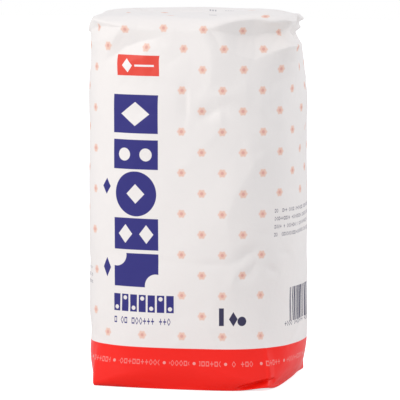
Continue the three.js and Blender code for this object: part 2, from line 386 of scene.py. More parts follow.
def shoulder_push(arc, z):
    """The walls lean in towards the top, and the edge under the top is crushed."""
    right = lean_in(RIGHT_SHOULDER_START, RIGHT_SHOULDER_END, arc)
    left = lean_in(LEFT_SHOULDER_START, LEFT_SHOULDER_END, -arc)
    back = smooth(*BACK_LIP_START, np.abs(arc) - BACK_CORNER)
    rise = smooth(SHOULDER_START, SHOULDER_TOP, z)
    push = folded_edge(arc, z, RIGHT_LIP) + folded_edge(-arc, z, LEFT_LIP)
    push += BACK_LIP_DEPTH * back * bump(z - BACK_LIP_Z, BACK_LIP_HALF_HEIGHT)
    return push + (RIGHT_SHOULDER_INSET * right + LEFT_SHOULDER_INSET * left) * rise


def scattered_folds():
    """Small creases all over the paper, seeded, more of them near the folded ends."""
    draw = np.random.default_rng(SCATTER_SEED)
    folds = []
    for _ in range(SCATTER_COUNT):
        at_end = draw.random() < SCATTER_END_SHARE
        at_top = at_end and draw.random() < SCATTER_TOP_SHARE
        z = draw.uniform(*(SCATTER_TOP_Z if at_top else SCATTER_Z))
        arc = draw.uniform(-PERIMETER / 2, PERIMETER / 2)
        turn = draw.normal(0, SCATTER_TURN)
        turn += math.pi / 2 if draw.random() < SCATTER_UPRIGHT_SHARE else 0
        reach = np.array([math.cos(turn), math.sin(turn)]) * draw.uniform(*SCATTER_HALF)
        depth = draw.uniform(*SCATTER_DEPTH)
        depth *= 1 if draw.random() < SCATTER_INWARD_SHARE else -1
        ends = [np.array([arc, z]) - reach, np.array([arc, z]) + reach]
        folds.append((ends, draw.uniform(*SCATTER_REACH), draw.uniform(*SCATTER_REACH), depth))
    return folds


def broad_folds():
    """Longer bent creases on the sides and the back, seeded."""
    draw = np.random.default_rng(SCATTER_SEED + 1)
    folds = []
    for _ in range(BROAD_COUNT):
        side = 1 if draw.random() < 0.5 else -1
        arc = side * draw.uniform(BROAD_START, PERIMETER / 2 - BROAD_SEAM_GAP)
        middle = np.array([arc, draw.uniform(*BROAD_Z)])
        turn = draw.uniform(*BROAD_TURN)
        bend = draw.uniform(*BROAD_BEND)
        half = draw.uniform(*BROAD_HALF)
        first = middle - half * np.array([math.cos(turn), math.sin(turn)])
        last = middle + half * np.array([math.cos(turn + bend), math.sin(turn + bend)])
        depth = draw.uniform(*BROAD_DEPTH) * (1 if draw.random() < 0.5 else -1)
        reaches = [draw.uniform(*BROAD_REACH), draw.uniform(*BROAD_REACH)]
        folds.append(([first, middle, last], *reaches, depth))
    return folds


def add_crease(push, arc, z, points, left_reach, right_reach, depth):
    """A sharp line with a straight slope on each side, which dies away at both ends."""
    points = np.array(points, dtype=float)
    reach = max(left_reach, right_reach)
    low, high = points.min(axis=0) - reach, points.max(axis=0) + reach
    near = (arc > low[0]) & (arc < high[0]) & (z > low[1]) & (z < high[1])
    u, v = arc[near], z[near]
    nearest = np.full(u.shape, np.inf)
    side_reach = np.full(u.shape, right_reach)
    share = np.zeros(u.shape)
    runs = np.diff(points, axis=0)
    lengths = np.hypot(runs[:, 0], runs[:, 1])
    done = 0.0
    for start, run, length in zip(points[:-1], runs, lengths):
        t = clamp01(((u - start[0]) * run[0] + (v - start[1]) * run[1]) / length**2)
        distance = np.hypot(u - start[0] - t * run[0], v - start[1] - t * run[1])
        on_left = run[0] * (v - start[1]) - run[1] * (u - start[0]) > 0
        closer = distance < nearest
        nearest = np.where(closer, distance, nearest)
        side_reach = np.where(closer, np.where(on_left, left_reach, right_reach), side_reach)
        share = np.where(closer, (done + t * length) / lengths.sum(), share)
        done += length
    slope = clamp01(1 - nearest / side_reach)
    strength = np.sin(math.pi * (CREASE_END + (1 - 2 * CREASE_END) * share))
    push[near] += depth * strength * slope * (CREASE_STRAIGHT + (1 - CREASE_STRAIGHT) * slope)


def wall_push(arc, z):
    """Inward push of the wall from the creases, the crushed edge, the paper corners and the seam."""
    push = np.zeros(arc.shape)
    for crease in CREASES + scattered_folds() + broad_folds():
        add_crease(push, arc, z, *crease)
    for middle, height, half_width, half_height, depth in HOLLOWS:
        push += depth * bump(round_gap(arc, middle), half_width) * bump(z - height, half_height)
    for waves_round, waves_up, phase, height in SWELLS:
        turns = waves_round * arc / PERIMETER + waves_up * z / BODY_HEIGHT
        push += height * np.sin(2 * math.pi * turns + phase)
    push += shoulder_push(arc, z)
    for middle, height, reach, half_width, half_height in PAPER_EARS:
        push -= reach * bump(round_gap(arc, middle), half_width) * bump(z - height, half_height)
    seam = PERIMETER / 2 - np.abs(arc)
    push -= SEAM_STEP * (1 - smooth(SEAM_WIDTH / 2, SEAM_WIDTH / 2 + SEAM_BLEND, seam))
    return push


def top_height(x, y):
    roundness = TOP_ROUNDNESS
    front_edge = TOP_DEPTH / 2 * clamp01(1 - np.abs(2 * x / TOP_WIDTH) ** roundness) ** (1 / roundness)
    from_front = y + front_edge
    lean = (TOP_FRONT_DROP - FRONT_ROLL) * clamp01(0.5 - y / TOP_DEPTH)
    lean = lean + FRONT_ROLL * clamp01(1 - from_front / FRONT_ROLL_LENGTH) ** FRONT_ROLL_POWER
    lean = lean + BEVEL_DROP * bump(from_front, BEVEL_LENGTH) * bump(x - BEVEL_X, BEVEL_HALF_WIDTH)
    across = clamp01(1 - (2 * x / TOP_WIDTH) ** 2) * clamp01(1 - (2 * y / TOP_DEPTH) ** 2)
    corner = EAR_DROP * smooth(*EAR_DROP_ACROSS, x) * smooth(*EAR_DROP_DEEP, y)
    corner = corner + FRONT_LEFT_DROP * smooth(*LEFT_DROP_ACROSS, -x) * smooth(*LEFT_DROP_DEEP, -y)
    rise = FRONT_RIGHT_RISE * smooth(*RISE_ACROSS, x) * smooth(*RISE_DEEP, y)
    return BODY_HEIGHT - FLAP_STEP - lean - TOP_SAG * across - corner + rise


def top_face(x, y, reach):
    """The folded top: one long flap lapped over the other, with soft hollows."""
    flap_edge = TOP_FLAP_EDGE + TOP_FLAP_WAVE * np.sin(x / TOP_FLAP_WAVE_LENGTH)
    flap = smooth(flap_edge, flap_edge + TOP_FLAP_BLEND, y)
    high = bump(x - TOP_FLAP_HIGH_X, TOP_FLAP_HIGH_HALF)
    flap = flap * (TOP_FLAP_LOW_SHARE + (1 - TOP_FLAP_LOW_SHARE) * high)
    flap = flap * smooth(0, TOP_FLAP_END_BLEND, TOP_WIDTH / 2 - TOP_FLAP_END - np.abs(x))
    tucked = np.abs(x) - TUCK_START - TUCK_SLOPE * np.abs(y - TUCK_MIDDLE)
    tucked = smooth(0, TUCK_BLEND, tucked)
    depth, length_x, length_y, phase_x, phase_y = TOP_HOLLOW
    hollows = depth * np.sin(x / length_x + phase_x) * np.sin(y / length_y + phase_y)
    depth, length_x, length_y = TOP_RIPPLE
    hollows = hollows + depth * np.sin(x / length_x - y / length_y)
    relief = TOP_FLAP_STEP * flap - TUCK_STEP * tucked + hollows * smooth(1, TOP_HOLLOW_EDGE, reach)
    return top_height(x, y) + relief * smooth(1, FLAT_EDGE, reach)


def base_flap(x, y):
    """1 where the long flap of the base lies over the others."""
    inside_long = np.minimum(FLAP_LAP - y, BASE_DEPTH / 2 + y)
    share = clamp01((y + BASE_DEPTH / 2) / BASE_DEPTH)
    inside_end = BASE_WIDTH / 2 - np.abs(x) - share * BASE_DEPTH / 2
    return smooth(0, FLAP_EDGE_BLEND, np.minimum(inside_long, inside_end))


def row_height(fraction):
    return (fraction - ROW_CROWDING * np.sin(2 * math.pi * fraction)) * BODY_HEIGHT


def oval(level, square_x, square_y):
    """One row of the packet before any dent: points, outward normals."""
    paths = quadrant_path(level)
    on_front = np.abs(square_y) >= np.abs(square_x)
    front_length = np.abs(square_x) * paths[0][0][-1]
    side_length = (1 - np.abs(square_y)) * paths[1][0][-1]
    oval_x, oval_y = [
        np.where(
            on_front,
            np.interp(front_length, paths[0][0], paths[0][axis]),
            np.interp(side_length, paths[1][0], paths[1][axis]),
        )
        for axis in (1, 2)
    ]
    bow_x = BASE_SIDE_BOW * (1 - square_y**2)
    bow_y = BASE_FRONT_BOW * (1 - square_x**2)
    front_right = (np.maximum(0, square_x) * np.maximum(0, -square_y)) ** BASE_CORNER_POWER
    back_right = (np.maximum(0, square_x) * np.maximum(0, square_y)) ** BASE_CORNER_POWER
    scale = 1 - BASE_SOFT_CORNER * front_right + BASE_SPREAD_CORNER * back_right
    folded_x = scale * square_x * (BASE_WIDTH / 2 + bow_x)
    folded_y = scale * square_y * (BASE_DEPTH / 2 + bow_y)
    fade_power = mix(FRONT_FADE_POWER, BACK_FADE_POWER, smooth(0, 1, square_y))
    fade_power = mix(fade_power, BACK_CORNER_FADE_POWER, back_right)
    sharpness = clamp01(1 - level / SWELL_HEIGHT) ** fade_power
    x = mix(np.sign(square_x) * oval_x, folded_x, sharpness)
    y = mix(np.sign(square_y) * oval_y, folded_y, sharpness)
    half_width, half_depth, roundness = section_at(level)
    power = roundness - 1
    normal_x = np.sign(x) * (np.abs(x) / half_width) ** power / half_width
    normal_y = np.sign(y) * (np.abs(y) / half_depth) ** power / half_depth
    size = np.hypot(normal_x, normal_y)
    return x, y, normal_x / size, normal_y / size


def paper_distance(square_x, square_y):
    """Distance round the paper from the front centre, for the columns of the wall."""
    on_front = np.abs(square_y) >= np.abs(square_x)
    quarter = np.where(
        on_front,
        FRONT_HALF * np.abs(square_x),
        FRONT_HALF + SIDE_HALF * (1 - np.abs(square_y)),
    )
    from_front = np.where(square_y <= 0, quarter, PERIMETER / 2 - quarter)
    return np.where(square_x < 0, -from_front, from_front)


def corner_lift(x, y, z):
    """Rise of the base and of the wall just above it, where a corner stands off the table."""
    near = bump(np.hypot(x - LIFT_X, y - LIFT_Y), LIFT_REACH)
    return LIFT_HEIGHT * near * clamp01(1 - z / LIFT_FADE) ** 2


def wall_grid(levels, square_x, square_y):
    """Every point of the wall, row by row, and the paper distance of its columns."""
    rows = [oval(level, square_x, square_y) for level in levels]
    x, y, normal_x, normal_y = [np.stack([row[k] for row in rows]) for k in range(4)]
    arc = paper_distance(square_x, square_y)
    z = np.broadcast_to(levels[:, None], x.shape)
    turn_under = BASE_EDGE + BASE_TURN_UNDER * (1 - square_x**2) * (square_y < 0)
    low_edge = turn_under * (1 - clamp01(z / (TURN_UNDER_SLOPE * turn_under + TURN_UNDER_LEAST))) ** 2
    radius = np.interp(arc, *np.array(RIM_TURN, dtype=float).T)
    rise = clamp01((z - (BODY_HEIGHT - radius)) / radius)
    rim_inset = radius * (1 - np.sqrt(1 - rise**2))
    leaning = smooth(BODY_HEIGHT - TOP_LEAN_START, BODY_HEIGHT, z)
    height = z - (BODY_HEIGHT - top_height(x, y)) * leaning
    push = wall_push(np.broadcast_to(arc, x.shape), height)
    inward = push * smooth(0, BASE_PLAIN_HEIGHT, z) + low_edge + rim_inset
    shift = sum(amount * bump(arc - middle, width) for middle, width, amount in CORNER_SHIFTS)
    x = x - inward * normal_x + shift * smooth(SHOULDER_START, SHOULDER_TOP, z)
    y = y - inward * normal_y
    height = z - (BODY_HEIGHT - top_height(x, y)) * leaning
    return np.stack([x, y, height + corner_lift(x, y, z)], axis=-1), arc


def square_outline():
    """Square directions of the wall's columns, from the front left corner round to the right."""
    across = np.linspace(-1, 1, COLUMNS_FRONT + 1)
    deep = np.linspace(-1, 1, COLUMNS_SIDE + 1)
    sides = [
        np.stack([across[:-1], -np.ones(COLUMNS_FRONT)], axis=1),
        np.stack([np.ones(COLUMNS_SIDE), deep[:-1]], axis=1),
        np.stack([across[:0:-1], np.ones(COLUMNS_FRONT)], axis=1),
        np.stack([-np.ones(COLUMNS_SIDE), deep[:0:-1]], axis=1),
    ]
    return np.concatenate(sides)


def edge_points(square_x, square_y, edge):
    """The wall's last or first row in square directions."""
    place = np.select(
        [square_y <= -1 + TINY, square_x >= 1 - TINY, square_y >= 1 - TINY],
        [
            (square_x + 1) / 2 * COLUMNS_FRONT,
            COLUMNS_FRONT + (square_y + 1) / 2 * COLUMNS_SIDE,
            COLUMNS_FRONT + COLUMNS_SIDE + (1 - square_x) / 2 * COLUMNS_FRONT,
        ],
        2 * COLUMNS_FRONT + COLUMNS_SIDE + (1 - square_y) / 2 * COLUMNS_SIDE,
    )
    low = np.floor(place).astype(int) % len(edge)
    share = (place - np.floor(place))[:, None]
    high = (low + 1) % len(edge)
    return edge[low, :2] + (edge[high, :2] - edge[low, :2]) * share


def cap_points(at_top, edge):
    """Inner points of the folded top or base, a grid inside the last or first row of the wall."""
    across = np.linspace(-1, 1, COLUMNS_FRONT + 1)[1:-1]
    deep = np.linspace(-1, 1, COLUMNS_SIDE + 1)[1:-1]
    square_x, square_y = [grid.ravel() for grid in np.meshgrid(across, deep, indexing="ij")]
    reach = np.maximum(np.maximum(np.abs(square_x), np.abs(square_y)), TINY)
    flat = edge_points(square_x / reach, square_y / reach, edge) * reach[:, None]
    x, y = flat[:, 0], flat[:, 1]
    if at_top:
        z = top_face(x, y, reach)
    else:
        step = BASE_FLAP_STEP * (1 - base_flap(x, y))
        z = step * smooth(1, FLAT_EDGE, reach) + corner_lift(x, y, 0)
    return np.stack([x, y, z], axis=1)


def cap_faces(at_top, outline, count, first_inner):
    """Faces of the cap by vertex number."""
    first_edge = ROWS * count if at_top else 0
    number = np.zeros((COLUMNS_FRONT + 1, COLUMNS_SIDE + 1), dtype=int)
    inner = np.arange((COLUMNS_FRONT - 1) * (COLUMNS_SIDE - 1)) + first_inner
    number[1:-1, 1:-1] = inner.reshape(COLUMNS_FRONT - 1, COLUMNS_SIDE - 1)
    column = np.rint((outline[:, 0] + 1) * COLUMNS_FRONT / 2).astype(int)
    row = np.rint((outline[:, 1] + 1) * COLUMNS_SIDE / 2).astype(int)
    number[column, row] = first_edge + np.arange(count)
    corners = [number[:-1, :-1], number[1:, :-1], number[1:, 1:], number[:-1, 1:]]
    if not at_top:
        corners.reverse()
    return np.stack([corner.ravel() for corner in corners], axis=1)


def cap_coords(points, at_top, front):
    """Paper coordinates of the cap: the front panel carries on over its edge."""
    x, y = points[..., 0], points[..., 1]
    edge_x, edge_y, edge_z, edge_arc = front
    across = np.interp(x, edge_x, edge_arc) + x - np.clip(x, edge_x[0], edge_x[-1])
    back = y - np.interp(x, edge_x, edge_y)
    level = np.interp(x, edge_x, edge_z)
    return np.stack([across, level + TOP_PAPER_EXTRA + back if at_top else level - back], axis=-1)


def print_height(grid):
    """Height of the print: the paper runs in and out of the crushed edge, which takes some up."""
    z = grid[..., 2]
    steps = np.diff(grid, axis=0)
    slack = np.linalg.norm(steps, axis=2) - steps[..., 2]
    slack = np.cumsum(slack * (z[1:] > CRUSHED_START), axis=0)
    slack = np.concatenate([np.zeros((1, z.shape[1])), slack])
    height = z + slack + TOP_PRINT_DROP * smooth(*TOP_PRINT_DROP_RISE, z)
    return np.minimum(height, np.maximum(z, WALL_PRINT_TOP))


def print_slips(arc, z):
    """How far the print has slid to the right and upward, where folds take up the paper."""
    slide = np.zeros(z.shape)
    climb = np.zeros(z.shape)
    for middle, height, half_width, half_height, right, up in PRINT_SLIPS:
        near = bump(round_gap(arc, middle), half_width) * bump(z - height, half_height)
        slide += right * near
        climb += up * near
    return slide, climb


def build_skin():
    outline = square_outline()
    count = len(outline)
    levels = row_height(np.arange(ROWS + 1) / ROWS)
    grid, arc = wall_grid(levels, outline[:, 0], outline[:, 1])
    slide, climb = print_slips(arc, grid[..., 2])
    height = print_height(grid) - climb
    wall = grid.reshape(-1, 3)
    top = cap_points(True, grid[-1])
    base = cap_points(False, grid[0])
    vertices = np.concatenate([wall, top, base])

    here = np.arange(count)
    there = (here + 1) % count
    step = np.arange(ROWS)[:, None] * count
    above = step + count
    wall_faces = np.stack([step + here, step + there, above + there, above + here], axis=-1)
    next_arc = arc[there] + PERIMETER * (arc[there] < arc - PERIMETER / 2)
    left = arc - slide
    right = next_arc - slide[:, there]
    corner_arcs = np.stack([left[:-1], right[:-1], right[1:], left[1:]], axis=-1)
    ahead = height[:, there]
    corner_heights = np.stack([height[:-1], ahead[:-1], ahead[1:], height[1:]], axis=-1)
    wall_coords = np.stack([corner_arcs, corner_heights], axis=-1)
    faces = [wall_faces.reshape(-1, 4)]
    coords = [wall_coords.reshape(-1, 4, 2)]
    for at_top, first in ((True, len(wall)), (False, len(wall) + len(top))):
        made = cap_faces(at_top, outline, count, first)
        faces.append(made)
        front = grid[-1 if at_top else 0, : COLUMNS_FRONT + 1].T
        coords.append(cap_coords(vertices[made], at_top, [*front, arc[: COLUMNS_FRONT + 1]]))
    return vertices, np.concatenate(faces), np.concatenate(coords)


def make_packet():
    vertices, faces, coords = build_skin()
    low, high = vertices.min(axis=0), vertices.max(axis=0)
    middle = (low + high) / 2
    vertices = vertices - np.array([middle[0], middle[1], low[2]])
    mesh = bpy.data.meshes.new("paper_packet")
    mesh.from_pydata((vertices * MM).tolist(), [], faces.tolist())
    paper = mesh.uv_layers.new(name="paper")
    flat = np.array(coords, dtype=np.float32).reshape(-1)
    paper.data.foreach_set("uv", flat)
    mesh.polygons.foreach_set("use_smooth", [True] * len(mesh.polygons))
    mesh.update()
    return add_object("paper_packet", mesh)


# Print, in millimetres of paper: distance round from the front centre and height
SOFT_EDGE = 0.12
PANEL_CENTRE = PERIMETER / 2
PANEL_EDGE = 100.0

# Dots: a square lattice turned by 45 degrees, of rosettes measured in shares of their radius
DOT_PITCH = 19.14
DOT_FIRST = (10.9, 169.0)
DOT_RADIUS = 2.1
DOT_BLUR = 0.45
PETALS = 6.0
PETAL_MIDDLE = 0.88
PETAL_DEPTH = 0.08
HEART_RADIUS = 0.36
HEART_BLUR = 0.35
DOTS_ABOVE_BAND = 2.0
# Left, right, low, high: lattice points left bare for the other print, and most of the top
DOTLESS = [
    (-42, -4, 30, 155),
    (46, 106, 19, 88),
    (15, 33, 28, 42),
    (-104, -50, 22, 70),
    (-200, 35, 174, 183),
    (44, 200, 174, 183),
    (-200, -12, 183, 193),
    (-4, 45, 183, 193),
    (45, 200, 183, 193),
    (60, 115, 166, 172),
    (-200, 200, 193, 212),
    (-200, -41, 212, 221),
    (-33, -22, 212, 221),
    (-14, 200, 212, 221),
    (-200, 16, 221, 240),
    (25, 200, 221, 240),
    (-200, 200, 240, 400),
]
DOTLESS_SOFT = 0.01

# Boxes are left, right, low, high; diamonds are middle, half width, half height; discs are middle, radius
LABEL = (-31.8, -10.3, 146.6, 156.0)
LABEL_DIAMOND = (-26.4, 151.3, 2.6, 3.2)
LABEL_BAR = (-22.6, -12.9, 150.85, 151.75)
TILE_LEFT, TILE_RIGHT = -32.7, -9.9
ROUND_TILE_EXTRA = 0.6
# Low, high and shape of each tile, then the shape of its cut-outs and, from the tile's middle, where
# they are and their half sizes
TILES = [
    (119.8, 137.8, "box", "diamond", [(0, 0, 7.2, 5.6)]),
    (103.0, 116.8, "box", "disc", [(-5.4, 0, 3.0), (5.4, 0, 3.0)]),
    (81.5, 101.4, "disc", "diamond", [(0, 0, 4.6, 4.6)]),
    (65.2, 80.0, "box", "diamond", [(-5.4, 0, 3.6, 4.4), (5.4, 0, 3.6, 4.4)]),
    (47.8, 63.5, "box", "disc", [(-10.2, 7.05, 5.4), (10.2, -7.05, 5.4)]),
]
ACCENTS = [(-37.4, 94.4, 2.5, 3.8), (-37.4, 56.2, 2.5, 4.6)]
BLOCKS = (-33.1, -1.6, 36.1, 44.2)
BLOCK_STEP = 4.5
BLOCK_HALF = 1.8
NOTCH_LOW = 37.9
NOTCH_RISE = 4.6
NOTCH_RADIUS = 1.0
AMOUNT_BAR = (18.9, 21.2, 30.6, 38.9)
AMOUNT_DIAMOND = (25.7, 33.7, 2.1, 3.4)
AMOUNT_DISC = (29.9, 32.6, 2.2)
BARCODE = (60, 90, 30.6, 46.6)
BARCODE_SOFT = 0.05
BAR_WIDTH = 0.36
BAR_GAP_SHARE = 0.42
BAR_SEED = 3.0

# Lines of small marks: left, right, top, height of a mark, width of its place, seed, lines, pitch
LINE_BELOW_BLOCKS = (-33.1, -4.1, 33.6, 3.4, 1.95, 5, 1, 4)
SMALL_PRINT = [
    (46.5, 103, 84.8, 1.9, 1.25, 31, 4, 3.75),
    (-100, -52, 55.2, 1.7, 1.15, 51, 3, 3.4),
    (55, 94, 30.9, 2.4, 1.7, 41, 1, 4),
]
SMALL_PRINT_STRENGTH = 0.95
# A mark, in half heights: room across, half sizes of the shapes, half stroke and its softness
MARK_ROOM = 1.15
MARK_SQUARE = 0.68
MARK_CROSS = 0.66
MARK_DIAMOND = 0.86
MARK_DIAMOND_SQUAT = 0.9
MARK_STROKE = 0.19
MARK_SOFT = 0.10
MARK_LINE_SOFT = 0.08
# Random numbers below the first are squares, below the second crosses, below the third diamonds
MARK_SHARES = (0.28, 0.50, 0.86)

BAND_TOP = 19.65
BAND_SOFT = 0.15
BAND_START = -43.0
BAND_PERIOD = 86.0
BAND_WORDS = (-200, 200, 14.1, 2.7, 2.05, 71, 1, 4)
BAND_WORDS_STRENGTH = 0.6
BEADS = [-31.4, -6.9, 7.1, 21.8, 38.9]
BEAD_HEIGHT = 12.75
BEAD_RADIUS = 0.7
BEAD_BLUR = 0.2
BEAD_GAP = 2.3
BEAD_GAP_SOFT = 0.1

# Stamps on the top, of slanted strokes: left, right, low, high, strength
STAMPS = [(1.4, 5.2, 226, 234, 0.6), (9.1, 14.2, 229, 235, 0.3)]
STAMP_BAR = (1.4, 5.2, 199.6, 201.2, 0.6)
STAMP_FOOT = 226.0
STAMP_SLANT = 0.23
STAMP_PITCH = 1.27
STAMP_GAP = 0.5

PAPER_COLOUR = (0.875, 0.825, 0.785)
PAPER_SHADE = (0.84, 0.80, 0.77)
PAPER_SHADE_SHARE = 0.5
DOT_COLOUR = (0.875, 0.58, 0.47)
DOT_HEART_COLOUR = (0.76, 0.40, 0.34)
NAVY = (0.031, 0.028, 0.195)
RED = (0.96, 0.014, 0.006)
LABEL_RED = (0.80, 0.068, 0.045)
LABEL_PALE = (0.9, 0.86, 0.84)
BAND_PALE = (0.92, 0.36, 0.33)
GREY_INK = (0.11, 0.10, 0.15)
DARK_INK = (0.040, 0.036, 0.085)

# Surface of the paper: scale, detail and distortion of its noises, strength and depth of its bumps
FIBRE_NOISE = (1400.0, 3.0, 0.0)
CLOUD_NOISE = (45.0, 4.0, 0.0)
CRUMPLE_NOISE = (110.0, 3.0, 0.6)
FIBRE_BUMP = (0.25, 0.00005)
CRUMPLE_BUMP = (0.35, 0.0006)
ROUGHNESS = 0.36
ROUGHNESS_CHANGE = 0.16
BAND_ROUGHNESS_CHANGE = -0.10
SPECULAR_LEVEL = 0.32
PAPER_IOR = 1.46


class Print:
    """Short calls for the nodes of a material, most of them arithmetic with masks between 0 and 1."""

    def __init__(self, tree):
        self.tree = tree

    def node(self, kind, **settings):
        made = self.tree.nodes.new(kind)
        for name, value in settings.items():
            setattr(made, name, value)
        return made

    def put(self, value, socket):
        if isinstance(value, bpy.types.NodeSocket):
            self.tree.links.new(value, socket)
        else:
            socket.default_value = value

    def math(self, operation, *values, clamp=False):
        made = self.node("ShaderNodeMath", operation=operation, use_clamp=clamp)
        for value, socket in zip(values, made.inputs):
            self.put(value, socket)
        return made.outputs[0]

    def add(self, a, b):
        return self.math("ADD", a, b)

    def sub(self, a, b):
        return self.math("SUBTRACT", a, b)

    def mul(self, a, b):
        return self.math("MULTIPLY", a, b)

    def mul_add(self, value, factor, extra):
        return self.math("MULTIPLY_ADD", value, factor, extra)

    def size(self, value):
        return self.math("ABSOLUTE", value)

    def above(self, value, edge):
        return self.math("GREATER_THAN", value, edge)

    def below(self, value, edge):
        return self.math("LESS_THAN", value, edge)

    def larger(self, a, b):
        return self.math("MAXIMUM", a, b)

    def length(self, a, b):
        return self.math("SQRT", self.add(self.mul(a, a), self.mul(b, b)))

    def choose(self, mask, first, second):
        """The first value where the mask is 0, the second where it is 1."""
        return self.mul_add(self.sub(second, first), mask, first)

    def both(self, *masks):
        whole = masks[0]
        for mask in masks[1:]:
            whole = self.mul(whole, mask)
        return whole

    def either(self, *masks):
        whole = masks[0]
        for mask in masks[1:]:
            whole = self.larger(whole, mask)
        return whole

    def without(self, mask, hole):
        return self.mul(mask, self.math("SUBTRACT", 1.0, hole, clamp=True))

    def inside(self, distance, soft=SOFT_EDGE):
        """1 where a distance is below 0, with a soft edge."""
        made = self.node("ShaderNodeMapRange", interpolation_type="SMOOTHSTEP")
        self.put(distance, made.inputs["Value"])
        set_inputs(made, {"From Min": -soft, "From Max": soft, "To Min": 1.0, "To Max": 0.0})
        return made.outputs["Result"]

    def away(self, value, centre):
        return self.size(self.sub(value, centre))

    def box(self, u, v, left, right, low, high, soft=SOFT_EDGE):
        across = self.sub(self.away(u, (left + right) / 2), (right - left) / 2)
        up = self.sub(self.away(v, (low + high) / 2), (high - low) / 2)
        return self.inside(self.larger(across, up), soft)

    def disc(self, u, v, x, y, radius, soft=SOFT_EDGE):
        reach = self.length(self.sub(u, x), self.sub(v, y))
        return self.inside(self.sub(reach, radius), soft)

    def diamond(self, u, v, x, y, half_width, half_height):
        across = self.mul(self.away(u, x), 1 / half_width)
        up = self.mul(self.away(v, y), 1 / half_height)
        least = min(half_width, half_height)
        return self.inside(self.mul(self.sub(self.add(across, up), 1.0), least))

    def chance(self, value, cell, seed):
        """One random number for each cell along value."""
        made = self.node("ShaderNodeTexWhiteNoise", noise_dimensions="2D")
        joined = self.node("ShaderNodeCombineXYZ")
        self.put(self.math("FLOOR", self.mul(value, 1 / cell)), joined.inputs["X"])
        self.put(seed, joined.inputs["Y"])
        self.put(joined.outputs[0], made.inputs["Vector"])
        return made.outputs["Value"]

    def line_of_marks(self, u, v, left, right, top, height, width, seed, lines, pitch):
        """Lines of tiny squares, crosses and diamonds in uneven groups, standing for small print."""
        down = self.sub(top, v)
        line = self.math("FLOOR", self.mul(down, 1 / pitch))
        y = self.mul_add(self.sub(down, self.mul(line, pitch)), 2 / height, -1.0)
        across = self.mul(u, 1 / width)
        place = self.math("FLOOR", across)
        x = self.mul_add(self.sub(across, place), 2 * MARK_ROOM, -MARK_ROOM)
        far_x = self.size(x)
        far_y = self.size(y)
        kind = self.chance(place, 1.0, self.add(line, seed))
        longest = self.larger(far_x, far_y)
        square = self.away(longest, MARK_SQUARE)
        diamond = self.away(self.add(far_x, self.mul(far_y, MARK_DIAMOND_SQUAT)), MARK_DIAMOND)
        cross = self.larger(self.math("MINIMUM", far_x, far_y), self.sub(longest, MARK_CROSS))
        squares, crosses, diamonds = MARK_SHARES
        shape = self.choose(self.above(kind, squares), square, cross)
        shape = self.choose(self.above(kind, crosses), shape, diamond)
        mark = self.inside(self.sub(shape, MARK_STROKE), MARK_SOFT)
        low = top - pitch * (lines - 1) - height
        whole = self.box(u, v, left, right, low, top, MARK_LINE_SOFT)
        return self.both(mark, self.below(kind, diamonds), self.below(longest, 1.0), whole)

    def lay(self, ground, colour, mask):
        made = self.node("ShaderNodeMix", data_type="RGBA")
        self.put(mask, made.inputs["Factor"])
        self.put(ground, made.inputs["A"])
        self.put((*colour, 1.0), made.inputs["B"])
        return made.outputs["Result"]

    def noise(self, place, scale, detail, distortion):
        made = self.node("ShaderNodeTexNoise")
        self.put(place, made.inputs["Vector"])
        set_inputs(made, {"Scale": scale, "Detail": detail, "Distortion": distortion})
        return made.outputs["Fac"]

    def bump(self, height, strength, distance):
        made = self.node("ShaderNodeBump")
        self.put(height, made.inputs["Height"])
        set_inputs(made, {"Strength": strength, "Distance": distance})
        return made


def dots(ink, u, v, wrapped):
    """Six-petalled rosettes on the lattice, each printed whole or not at all, and their hearts."""
    half = DOT_PITCH / 2
    across = ink.mul(ink.sub(u, DOT_FIRST[0]), 1 / half)
    down = ink.mul(ink.sub(DOT_FIRST[1], v), 1 / half)
    first = ink.math("ROUND", ink.mul(ink.add(across, down), 0.5))
    second = ink.math("ROUND", ink.mul(ink.sub(across, down), 0.5))
    column = ink.add(first, second)
    row = ink.sub(first, second)
    offset_u = ink.mul(ink.sub(across, column), half)
    offset_v = ink.mul(ink.sub(down, row), half)
    reach = ink.length(offset_u, offset_v)
    angle = ink.math("ARCTAN2", offset_v, offset_u)
    petals = ink.mul(ink.math("COSINE", ink.mul(angle, PETALS)), PETAL_DEPTH * DOT_RADIUS)
    rosette = ink.inside(ink.sub(reach, ink.add(petals, PETAL_MIDDLE * DOT_RADIUS)), DOT_BLUR)
    heart = ink.inside(ink.sub(reach, HEART_RADIUS * DOT_RADIUS), HEART_BLUR)
    centre_u = ink.add(ink.mul(column, half), DOT_FIRST[0])
    centre_v = ink.sub(DOT_FIRST[1], ink.mul(row, half))
    off_seam = ink.below(ink.size(centre_u), PERIMETER / 2 - DOT_RADIUS)
    rosette = ink.both(rosette, off_seam)
    centre_w = ink.sub(centre_u, ink.sub(u, wrapped))
    for left, right, low, high in DOTLESS:
        bare = ink.box(centre_w, centre_v, left, right, low, high, DOTLESS_SOFT)
        rosette = ink.without(rosette, bare)
    return rosette, ink.both(heart, rosette)


def tiles(ink, w, v):
    """Five big plain tiles up the left of a broad panel, each with its own cut-out, and two accents."""
    middle = (TILE_LEFT + TILE_RIGHT) / 2
    shapes = {"disc": ink.disc, "diamond": ink.diamond}
    masks = []
    for low, high, kind, cut, holes in TILES:
        centre = (low + high) / 2
        if kind == "box":
            tile = ink.box(w, v, TILE_LEFT, TILE_RIGHT, low, high)
        else:
            tile = ink.disc(w, v, middle, centre, (high - low) / 2 + ROUND_TILE_EXTRA)
        cuts = [shapes[cut](w, v, middle + x, centre + z, *sizes) for x, z, *sizes in holes]
        masks.append(ink.without(tile, ink.either(*cuts)))
    return ink.either(*masks, *[ink.diamond(w, v, *accent) for accent in ACCENTS])


